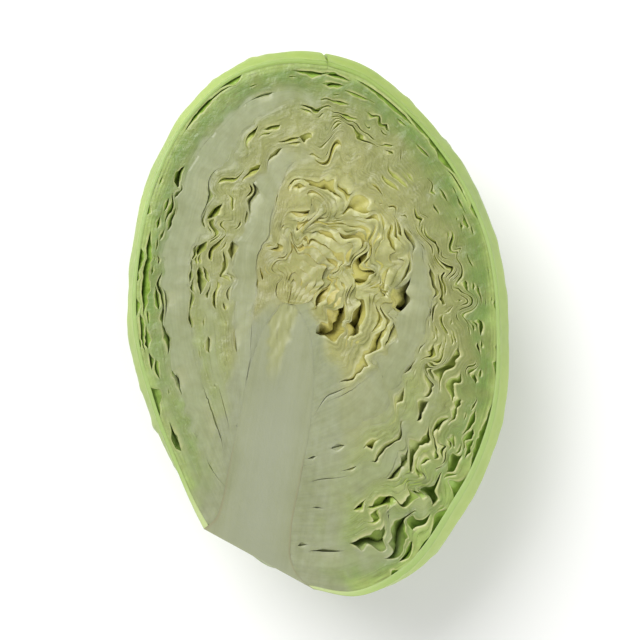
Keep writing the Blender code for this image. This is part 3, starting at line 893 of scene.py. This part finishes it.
def whiteness(level, points, run, turn):
    """How white a place is: near the stem but for its tip, and beside each midrib, over a few layers."""
    white = 1 - ease(*WHITE_FADE, off_stem(points) + WHITE_STRAY * noise(points / 7, WHITE_SEED))
    for leaf, at, share, end in CUT_RIBS:
        own = thinned(MIDDLES[FIRST_LAYER[leaf]], level)
        half = thinned((OUTER - INNER)[FIRST_LAYER[leaf]], level) / 2
        away = np.maximum(np.abs(level - own) - half, 0) / RIB_WHITE[0]
        near = np.exp(-(away**2) - ((turn - at) / RIB_WHITE[1]) ** 2)
        near = near * (1 - ease(end - 0.1, end + 0.1, run)) * min(1, share)
        white = np.maximum(white, RIB_WHITEST * near * (0.75 + 0.5 * noise(points / 4, RIB_WHITE_SEED)))
    young = np.exp(-np.sum(((points[..., :2] - YOUNG_SPOT) / YOUNG_REACH) ** 2, axis=-1))
    return np.clip(white * (1 - YOUNG_DARKER * young), 0, 1)


def close_ring(index):
    """Faces of a ring of rows: its skin, its base, and its apex, where each face runs to one point."""
    index = index.copy()
    rows = len(index) // 2 - 3
    index[:rows, -1] = index[0, -1]
    index[rows + 3:2 * rows + 3, -1] = index[rows + 3, -1]
    skin = tube(index)
    whole = np.all(np.diff(np.sort(skin, axis=1), axis=1) > 0, axis=1)
    three = skin[~whole][:, [0, 1, 2]]
    base = index[:, 0]
    outer, inner = base[:rows], base[rows + 3:2 * rows + 3][::-1]
    strips = np.stack([outer[1:], outer[:-1], inner[:-1], inner[1:]], axis=-1)
    left = base[rows - 1:rows + 4][::-1][None]
    right = np.concatenate([base[2 * rows + 2:], base[:1]])[::-1][None]
    return [skin[whole], three, strips, left, right]


def leaf_piece(name, rings, material, node, sharp=65):
    """One piece from the rings of its layers, with the values that each carries."""
    points, faces, values = [], [], {}
    start = 0
    for ring, carried in rings:
        index = start + np.arange(ring.shape[0] * ring.shape[1]).reshape(ring.shape[:2])
        faces += [f for f in close_ring(index) if len(f)]
        points.append(ring.reshape(-1, 3))
        for key, value in carried.items():
            values.setdefault(key, []).append(value.ravel())
        start += index.size
    used = np.zeros(start, bool)
    for f in faces:
        used[f.ravel()] = True
    renumber = np.cumsum(used) - 1
    values = {key: np.concatenate(value)[used] for key, value in values.items()}
    piece = add_piece(name, np.concatenate(points)[used], [renumber[f] for f in faces], material,
                      values, sharp)
    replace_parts(piece, node)


def layer_ring(layer, step):
    """A layer's ring: its faces at their crumpled places, its cut edges sprung and sunk by noise."""
    run, turn = np.broadcast_arrays(GRID_RUN[:, ::step], GRID_TURN)
    outer, more = crumpled(OUTER[layer][:, ::step], run, turn)
    inner, _ = crumpled(INNER[layer][:, ::step], run, turn)
    rib = RIB[layer][:, ::step]
    free = (1 - ease(*FREE_RIB, rib)) * ease(*FREE_RUN, run)
    spring = (SPRING[0] + SPRING[1] * (more - 1)) * noise(outer / 7 + layer * SPRING_SHIFT, SPRING_SEED)
    both = outer + inner
    lumps = noise(both / 15, LUMP_SEED)
    deep = LUMPS[0] + LUMPS[1] * lumps + LUMPS[2] * noise(both / 5, FINE_SEED)
    sink = (SUNK + np.maximum(spring + SUNK * lumps, -SUNK)) * free
    sink += (more - 1) * free * np.maximum(deep, 0)
    sink += (1 - free) * RIB_WAVE * (1 + noise(both / [12, 40, 12], RIB_WAVE_SEED))
    inside = GAPS[layer][:, ::step]
    outside = GAPS[layer - 1][:, ::step] if layer else 0 * inside
    inwards = np.stack([-np.cos(turn[:, 0]), 0 * turn[:, 0], np.sin(turn[:, 0])], axis=-1)
    for face in (outer, inner):
        face[:, 0] += ROOTING * inwards
    ring, painted_highlight = blade_ring(outer, inner, outside, inside, sink)
    # Painted highlight on the ridges left between sunk lumps, standing in for light on their tops.
    ridge_highlight = RIDGE_PAINTED_HIGHLIGHT * np.minimum(more - 1, 1) * free * ease(0.1, 0.6, -lumps)
    painted_highlight = np.maximum(painted_highlight, around(ridge_highlight, ridge_highlight))
    levels = OUTER[layer][:, ::step], INNER[layer][:, ::step]
    whites = [np.maximum(rib * RIB_PALENESS, whiteness(level, face, run, turn))
              for level, face in zip(levels, (outer, inner))]
    joint = np.ones(ring.shape[:2])
    joint[[len(run) + 1, 2 * len(run) + 4]] = 0
    return ring, {"level": around(*levels), "rib": around(*whites), "cut": cut_mark(run), "painted_highlight": painted_highlight,
                  "joint": joint, "along": around(run, run)}


CUT_STOPS = [(0.0, (0.35, 0.345, 0.13)), (0.35, (0.36, 0.36, 0.14)), (0.6, (0.30, 0.315, 0.12)),
             (0.75, (0.245, 0.275, 0.09)), (0.86, (0.16, 0.245, 0.055)), (0.92, (0.16, 0.26, 0.052)),
             (0.96, (0.33, 0.45, 0.12))]
BLADE_STOPS = [(0.0, (0.46, 0.41, 0.11)), (0.45, (0.47, 0.46, 0.13)), (0.75, (0.36, 0.46, 0.10)),
               (0.95, (0.30, 0.47, 0.08))]
STREAK_STOPS = [(0.3, (0.80, 0.82, 0.74)), (0.6, (1.0, 1.0, 1.0))]
SPECK_STOPS = [(0.35, (0.72, 0.7, 0.55)), (0.7, (1, 1, 1))]
LOW_GREEN = (0.29, 0.38, 0.125, 1)
PATCH_GREEN = (0.27, 0.29, 0.09, 1)
JOINT_SHADE = (0.13, 0.15, 0.035, 1)
# Painted highlight: the pale cream put on the lips of open hollows and on crumpled ridges.
PAINTED_HIGHLIGHT_CREAM = (0.60, 0.60, 0.29, 1)
DASH_SHADE = (0.15, 0.16, 0.045, 1)
BLADE_RELIEF = 0.0006


def blade_material(name):
    """Leaf tissue: one run of colours by level for cut edges and another for the blades between.

    Cut edges have a painted highlight on the lips of open hollows and on ridges, and dark joints.
    Streaks and dashes run along them, and ribs are white.
    """
    shop = Workshop(name)
    place_level, along, rib = (shop.value(key) for key in ("level", "along", "rib"))
    clouds = shop.grain(shop.place(), 70.0, 3.0)
    patches = shop.grain(shop.place(), 190.0, 3.0)
    level = place_level + (clouds - 0.5) * 0.12
    cut = shop.colours(level, *CUT_STOPS)
    low = along.ramp(0.45, 0.2) * level.ramp(0.42, 0.62) * level.ramp(0.95, 0.88)
    cut = shop.mix(low * 0.6, cut, LOW_GREEN)
    cut = shop.mix(patches.ramp(0.35, 0.75) * 0.5, cut, PATCH_GREEN)
    shown = shop.grain(shop.place(), 90.0, 2.0).ramp(0.4, 0.62) * (1 - rib.ramp(0.1, 0.5))
    cut = shop.mix(shop.value("joint") ** 2 * shown * 0.45, cut, JOINT_SHADE)
    # Painted highlight: pale cream on the lips of open hollows and on crumpled ridges.
    cut = shop.mix(shop.value("painted_highlight") * 0.8, cut, PAINTED_HIGHLIGHT_CREAM)
    colour = shop.mix(shop.value("cut"), shop.colours(level, *BLADE_STOPS), cut)
    colour = shop.mix(rib, colour, flesh_colour(shop))
    where = shop.node("ShaderNodeCombineXYZ", {}, place_level * 70.0, along * 5.0, 0.0)
    streaks = shop.grain(where, 1.0, 4.0, 0.65)
    colour = shop.mix(0.6, colour, shop.colours(streaks, *STREAK_STOPS), "MULTIPLY")
    where = shop.node("ShaderNodeCombineXYZ", {}, place_level * 150.0, along * 26.0, 0.0)
    dashes = shop.grain(where, 1.0, 2.0).ramp(0.57, 0.68) * place_level.ramp(0.3, 0.5)
    dashes = dashes * (1 - rib.ramp(0.05, 0.4)) * shop.value("cut")
    colour = shop.mix(dashes * 0.5, colour, DASH_SHADE)
    specks = shop.grain(shop.place(), 300.0, 2.0)
    colour = shop.mix(0.4, colour, shop.colours(specks, *SPECK_STOPS), "MULTIPLY")
    wrinkles = shop.grain(shop.place(), 240.0, 3.0)
    relief = wrinkles * (1 - rib.ramp(0.1, 0.6) * 0.85)
    return shop.finish(colour, 0.28 + clouds * 0.25, relief, BLADE_RELIEF,
                       soak=(0.2, (0.003, 0.0035, 0.0012), 1.0))


head_tissue = blade_material("head_blade")
heart_tissue = blade_material("heart_blade")
for number in range(WRAPPERS, LEAVES):
    young = number >= LEAVES - 2 * HEART_LEAVES
    fineness = 1 if number < LEAVES - HEART_LEAVES - 3 else 2
    layers = range(FIRST_LAYER[number], FIRST_LAYER[number + 1])
    leaf_piece(f"{'heart' if young else 'head'}_blade_{number + 1:02d}",
               [layer_ring(layer, fineness) for layer in layers],
               heart_tissue if young else head_tissue,
               f"leaf_{number + 1:02d}")

# Wrapper leaves
# The two outermost leaves: thicker, waxy and bright green, with a strong midrib and side veins
# standing out of the back. Each ends in a free, waved edge that laps over the other leaf.

WRAPPER_COLUMNS = 216
WRAPPER_ROWS = 84
LEAF_LENGTH = 215.0
LEAF_GIRTH = 135.0
MIDRIB_SHARE = 0.6
MIDRIB_HEIGHT = 3.6
MIDRIB_WIDTH = 5.5
# Side veins: where each pair leaves the midrib, in millimetres from the stem, its angle and length.
VEIN_FEET = (12, 26, 42, 58, 76, 96, 118, 142)
VEIN_STRAY = 4
VEIN_ANGLES = (48, 64)
VEIN_LENGTH = 105
VEIN_SHORTENING = 0.3
VEIN_HEIGHT = 1.4
VEIN_WIDTH = 2.2
VEIN_STEP = 4.0
VEIN_WANDER = 8
VEIN_BEND = 0.9
VEIN_THINNING = 0.6
VEIN_WEAKEST = 0.24
VEIN_SEED = 8
# Side veins begin over this run, and all veins end over that one and keep off the cut by a share.
VEINS_BEGIN = (0.04, 0.18)
VEINS_END = (0.85, 0.97)
VEINS_OFF_CUT = (0, 0.12)
# Forks: how far along a vein the first and the next come, by how many degrees, and how much goes on.
FIRST_FORK = (0.15, 0.4)
NEXT_FORK = (0.3, 0.6)
FORK_DEGREES = (24, 42)
FORK_SHARE = 0.7
# Puckers, broad and fine: size, height and seed.
PUCKERS = [(13, 0.45, 52), (6, 0.25, 54)]
PUCKERS_BEGIN = (0.1, 0.3)
PUCKERS_END = (0.88, 0.98)
PUCKERS_OFF_CUT = (0, 0.06)
# The turns over which the second leaf comes out from under the first one's edge.
UNCOVERED = (0.02, 0.3)
WRAPPER_BEVEL = 0.15
WRAPPER_CUTS = (0.15, 0.5, 0.85)
WRAPPER_BASE = 0.16
CUT_FADE = 0.85
PALEST_HEIGHT = 1.1
GREEN_STOPS = [(0.3, (0.22, 0.34, 0.055)), (0.55, (0.31, 0.44, 0.08)), (0.8, (0.41, 0.53, 0.13))]
MOTTLE_STOPS = [(0.38, (0.80, 0.86, 0.76)), (0.62, (1, 1, 1))]
NET_GREEN = (0.42, 0.53, 0.18, 1)
VEIN_PALE = (0.45, 0.51, 0.28, 1)
# Painted light: the paler green towards the cut face, where the top of the half is lit.
RIM_PAINTED_LIGHT = (0.56, 0.66, 0.24, 1)
CUT_GREEN = (0.31, 0.42, 0.13, 1)
MOTTLE_TINT = (0.92, 0.94, 0.84, 1)
APEX_TINT = (0.85, 0.88, 0.62, 1)


def vein_tree():
    """The veins of a flat leaf as short straight bits: starts and ends, along and across, and strengths.

    Side veins leave the midrib at an angle, bend towards the leaf's tip and fork, weaker each time.
    """
    rng = np.random.default_rng(VEIN_SEED)
    bits = []
    waiting = [(foot + rng.uniform(-VEIN_STRAY, VEIN_STRAY), 0.0, side * rng.uniform(*VEIN_ANGLES), side,
                1.0, VEIN_LENGTH - VEIN_SHORTENING * foot)
               for side in (-1, 1) for foot in VEIN_FEET]
    while waiting:
        along, across, angle, side, strength, length = waiting.pop()
        gone = 0.0
        fork = length * rng.uniform(*FIRST_FORK)
        while gone < length:
            angle += rng.uniform(-VEIN_WANDER, VEIN_WANDER) - side * VEIN_BEND
            ahead = along + VEIN_STEP * np.cos(np.radians(angle))
            aside = across + VEIN_STEP * np.sin(np.radians(angle))
            now = strength * (1 - VEIN_THINNING * gone / length)
            bits.append(((along, across), (ahead, aside), now))
            along, across, gone = ahead, aside, gone + VEIN_STEP
            if gone > fork and now > VEIN_WEAKEST:
                spread = rng.choice([-1, 1]) * rng.uniform(*FORK_DEGREES)
                waiting.append((along, across, angle + spread, side, FORK_SHARE * now,
                                FORK_SHARE * (length - gone)))
                fork = gone + (length - gone) * rng.uniform(*NEXT_FORK)
    return [np.array(part) for part in zip(*bits)]


VEINS = vein_tree()


def vein_relief(run, share):
    """Height of midrib and side veins: a ridge along the middle, and a narrower one along each vein."""
    along = run * LEAF_LENGTH
    across = (share - MIDRIB_SHARE) * LEAF_GIRTH * np.sin(np.pi * np.clip(run * 0.8 + 0.12, 0, 1))
    midrib = MIDRIB_HEIGHT * (1 - run) ** 0.7 * np.exp(-((across / MIDRIB_WIDTH) ** 2))
    side = np.zeros(run.shape)
    for start, end, strength in zip(*VEINS):
        step = end - start
        ahead, aside = along - start[0], across - start[1]
        part = np.clip((ahead * step[0] + aside * step[1]) / (step @ step), 0, 1)
        away = (ahead - part * step[0]) ** 2 + (aside - part * step[1]) ** 2
        width = VEIN_WIDTH * (0.5 + 0.5 * strength)
        side = np.maximum(side, VEIN_HEIGHT * strength * np.exp(-away / width**2))
    side *= ease(*VEINS_BEGIN, run)
    return np.maximum(midrib, side) * ease(*VEINS_OFF_CUT, share) * (1 - ease(*VEINS_END, run))


def wrapper_material():
    """Waxy green leaf, mottled, pale on the veins, with painted light near the cut and a fine net of small
    veins.
    """
    shop = Workshop("wrapper_blade")
    clouds = shop.grain(shop.place(), 30.0, 4.0)
    bends = shop.node("ShaderNodeTexNoise", {}, Vector=shop.place(), Scale=90.0, output="Color")
    bent = shop.mix(0.012, shop.place(), bends, "ADD")
    net = shop.node("ShaderNodeTexVoronoi", {"feature": "DISTANCE_TO_EDGE"}, Vector=bent, Scale=150.0)
    fine = net.ramp(0.0, 0.22)
    mottle = shop.grain(shop.place(), 55.0, 3.0)
    green = shop.colours(clouds, *GREEN_STOPS)
    green = shop.mix(0.7, green, shop.colours(mottle, *MOTTLE_STOPS), "MULTIPLY")
    veined = shop.mix((1 - fine) * 0.16, green, NET_GREEN)
    pale = shop.mix(shop.value("rib"), veined, VEIN_PALE)
    # Painted light: the leaf is lighter the higher it is, towards the cut face, as if lit from above.
    height = shop.node("ShaderNodeSeparateXYZ", {}, shop.place(), output="Z")
    pale = shop.mix(height.ramp(0.046, 0.064) * 0.3, pale, RIM_PAINTED_LIGHT)
    cut = shop.mix(shop.value("cut"), pale, CUT_GREEN)
    cut = shop.mix(mottle.ramp(0.3, 0.7) * 0.5, cut, MOTTLE_TINT, "MULTIPLY")
    cut = shop.mix(shop.value("along").ramp(0.6, 0.95), cut, APEX_TINT, "MULTIPLY")
    puckers = shop.grain(shop.place(), 110.0, 2.0)
    return shop.finish(cut, 0.38 + clouds * 0.2, puckers * 0.92 + fine * 0.08, BLADE_RELIEF,
                       soak=(0.2, (0.002, 0.003, 0.001), 1.0))


def wrapper_piece(leaf, material):
    """An outside leaf: rows from the cut face to its free edge, raised by its veins and low puckers."""
    run = (np.linspace(0, 1, WRAPPER_COLUMNS) ** 0.95)[None, :]
    share = np.concatenate([[0, 0.008, 0.02], np.linspace(0.04, 1, WRAPPER_ROWS - 3)])[:, None]
    cut_turn = np.pi * leaf
    turn = cut_turn + (wrapper_edge(leaf, run) - cut_turn) * share
    run, share = np.broadcast_arrays(run, share)
    inner_level, outer_level, _, _ = packing(run, turn)
    inner = place(inner_level[leaf], run, turn)
    outer = place(np.ones(run.shape) if leaf == 0 else outer_level[leaf], run, turn)
    normal = outer - inner
    normal /= np.maximum(np.linalg.norm(normal, axis=-1, keepdims=True), 1e-6)
    veins = vein_relief(run, share)
    puckers = sum(much * noise(outer / size, seed + leaf) for size, much, seed in PUCKERS)
    puckers *= ease(*PUCKERS_BEGIN, run) * ease(*PUCKERS_OFF_CUT, share) * (1 - ease(*PUCKERS_END, run))
    height = veins + puckers
    if leaf == 1:
        height = height * ease(*UNCOVERED, turn - wrapper_edge(0, run))
    outer = outer + normal * height[..., None]
    outer[..., 2] = np.clip(outer[..., 2], 0, FACE_HEIGHT)
    if leaf == 1:
        outer, inner, veins = outer[::-1], inner[::-1], veins[::-1]
    for face in (outer, inner):
        face[-leaf, :, 2] -= WRAPPER_BEVEL
    ends = []
    for row, shares in ((-1, WRAPPER_CUTS[::-1]), (0, WRAPPER_CUTS)):
        ends.append(np.stack([inner[row] * (1 - at) + outer[row] * at for at in shares]))
        if row == -leaf:
            ends[-1][..., 2] += WRAPPER_BEVEL
    ring = np.concatenate([outer, ends[0], inner[::-1], ends[1]])
    rows = len(outer)
    rib = np.zeros(ring.shape[:2])
    rib[:rows] = RIB_PALENESS * np.clip(veins / PALEST_HEIGHT, 0, 1)
    along = np.broadcast_to(run[:1], rib.shape)
    base = 1 - ease(0, WRAPPER_BASE, along)
    cut = np.zeros(rib.shape)
    if leaf == 0:
        cut[0] = 1
        cut[2 * rows + 2:] = 1
    else:
        cut[rows - 1:rows + 4] = 1
    cut *= 1 - CUT_FADE * base
    carried = {"rib": np.maximum(rib, base), "cut": cut, "along": along}
    leaf_piece(f"wrapper_blade_{leaf + 1:02d}", [(ring, carried)], material,
               f"leaf_{leaf + 1:02d}", sharp=60)


wrapper_tissue = wrapper_material()
for number in range(WRAPPERS):
    wrapper_piece(number, wrapper_tissue)

# The heart bud
# The youngest leaves, pale and tender and still folded over each other in a small tight egg. They
# grow from the stem's tip, and the knife has halved them with it.

BUD_GAP = 0.08
SHELL_GAP = 0.01
BUD_COLUMNS = 110
BUD_SCALES = (1.0, 0.8, 0.6, 0.4, 0.2, 0.03)
# How far its cut edges have sunk: on average, more in broad lumps, and a little in fine ones.
BUD_SUNK = (0.7, 0.8, 0.1)
BUD_LEAST_SUNK = 0.08
BUD_HOLLOW = 0.6
BUD_EDGE_SEEDS = (65, 66)
BUD_HOLLOW_SEED = 67


def bud_shell(scale, gap, run, turn):
    """The bud's outline, smaller by a scale and a gap, and crumpled with its neighbours."""
    radius, height = np.moveaxis(loft(0 * run, run, turn), -1, 0)
    radius = np.maximum(radius * scale - gap * ease(0, 0.1, run), 0)
    radius = radius * (1 - ease(0.93, 1, run)) + 0 * turn
    height = STEM_TIP + (height - STEM_TIP) * (0.3 + 0.7 * scale) - gap * ease(0.5, 1, run)
    points = np.stack([radius * np.cos(turn), height, FACE_HEIGHT - radius * np.sin(turn)], axis=-1)
    return pushed(points, ease(0.08, 0.3, run))


def bud_ring(number):
    """One of the bud's leaves: its faces between two shells, its edge sprung by noise."""
    run, turn = np.broadcast_arrays(np.linspace(0, 1, BUD_COLUMNS)[None], GRID_TURN)
    outer, _ = bud_shell(BUD_SCALES[number], SHELL_GAP if number else BUD_GAP, run, turn)
    inner, _ = bud_shell(BUD_SCALES[number + 1], 0, run, turn)
    broad, fine = noise(outer / 5, BUD_EDGE_SEEDS[0]), noise(outer / 2 + number, BUD_EDGE_SEEDS[1])
    sink = BUD_SUNK[0] + BUD_SUNK[1] * broad + BUD_SUNK[2] * fine
    sink = BUD_LEAST_SUNK + sink * ease(0.02, 0.3, run)
    gap = BUD_HOLLOW * np.maximum(noise(outer / 3, BUD_HOLLOW_SEED), 0)
    # The bud's cut edges get the painted highlight beside their hollows as well.
    ring, painted_highlight = blade_ring(outer, inner, gap, gap, sink)
    none = np.zeros(ring.shape[:2])
    return ring, {"level": none, "rib": none, "cut": cut_mark(run), "painted_highlight": painted_highlight, "joint": none,
                  "along": around(run, run)}


leaf_piece("bud", [bud_ring(number) for number in range(len(BUD_SCALES) - 1)], heart_tissue,
           "heart_bud")

# The floor, the light and the camera
# A plain pale floor, a broad soft light from the upper left and a fill, and a camera that looks
# down on the cut face with the stem's axis tilted as the half is seen.

FLOOR_SIZE = 6
# Each light's name, place, size and power.
LIGHTS = [("key", (-0.5, 0.46, 0.92), 0.7, 12.5), ("fill", (0.8, -0.5, 0.6), 1.0, 6.0)]
LIT_MIDDLE = (0, 0, 0.03)
WORLD_STRENGTH = 0.47
VIEW_ELEVATION = 88.0
VIEW_ROLL = 9.4
VIEW_FILL = 0.8
LENS = 100.0
SENSOR = 36.0


def floor():
    """A wide flat floor under the half."""
    bpy.ops.mesh.primitive_plane_add(size=FLOOR_SIZE)
    plane = bpy.context.object
    plane.name = "floor"
    shop = Workshop("floor_paint")
    cloud = shop.grain(shop.place(), 3.0)
    tone = shop.colours(cloud, (0.3, (0.88, 0.88, 0.87)), (0.7, (0.91, 0.91, 0.9)))
    plane.data.materials.append(shop.finish(tone, 0.7, cloud, 0.0001))


def area_light(name, where, size, power):
    """A square soft light, aimed at the middle of the half."""
    light = bpy.data.lights.new(name, "AREA")
    light.size = size
    light.energy = power
    lamp = bpy.data.objects.new(name, light)
    lamp.location = where
    lamp.rotation_euler = (Vector(LIT_MIDDLE) - lamp.location).to_track_quat("-Z", "Y").to_euler()
    bpy.context.scene.collection.objects.link(lamp)


def camera():
    """Looks at the middle of the half, far enough for its length to fill its part of the frame."""
    low, high = (np.array(corner) for corner in cad_box)
    centre = (low + high) / 2
    distance = (high - low)[1] / VIEW_FILL * LENS / SENSOR
    lift = np.radians(VIEW_ELEVATION)
    back = Vector((0, -np.cos(lift), np.sin(lift)))
    eye = bpy.data.cameras.new("camera")
    eye.lens = LENS
    eye.sensor_width = SENSOR
    eye.clip_start = 0.05
    seen = bpy.data.objects.new("camera", eye)
    tilt = Matrix.Rotation(np.pi / 2 - lift, 4, "X") @ Matrix.Rotation(np.radians(VIEW_ROLL), 4, "Z")
    seen.matrix_world = Matrix.Translation(Vector(centre) + back * distance) @ tilt
    bpy.context.scene.collection.objects.link(seen)
    bpy.context.scene.camera = seen


floor()
for light in LIGHTS:
    area_light(*light)
world = bpy.data.worlds.new("room")
world.use_nodes = True
world.node_tree.nodes["Background"].inputs["Color"].default_value = (1, 1, 1, 1)
world.node_tree.nodes["Background"].inputs["Strength"].default_value = WORLD_STRENGTH
bpy.context.scene.world = world
bpy.context.scene.view_settings.view_transform = "Standard"
camera()
